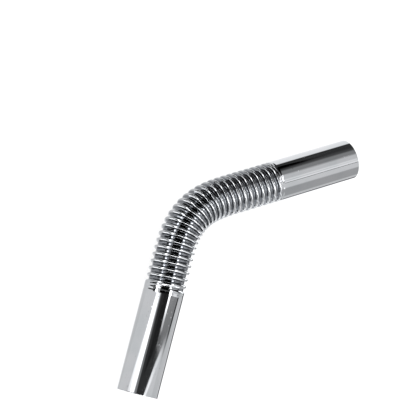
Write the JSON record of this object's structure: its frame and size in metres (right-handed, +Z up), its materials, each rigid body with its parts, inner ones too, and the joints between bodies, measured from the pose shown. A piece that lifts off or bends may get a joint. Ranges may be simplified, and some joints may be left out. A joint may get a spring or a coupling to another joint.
{
  "type": "corrugated brass pipe",
  "caption": "Thin-walled chrome-plated brass waste pipe with two plain ends and a helically corrugated middle, bent through sixty degrees.",
  "frame": {"origin": "middle of the pipe's outline, on the surface it lies on", "axes": "+Z up; the long plain end lies along X with its open rim towards -X; the bend turns the short plain end towards -Y"},
  "size_m": [0.2361, 0.1562, 0.032],
  "materials": {
    "chrome_plate": "bright chrome plating over brass"
  },
  "bodies": {
    "root": {"corrugated_pipe": "chrome_plate"}
  },
  "joints": []
}
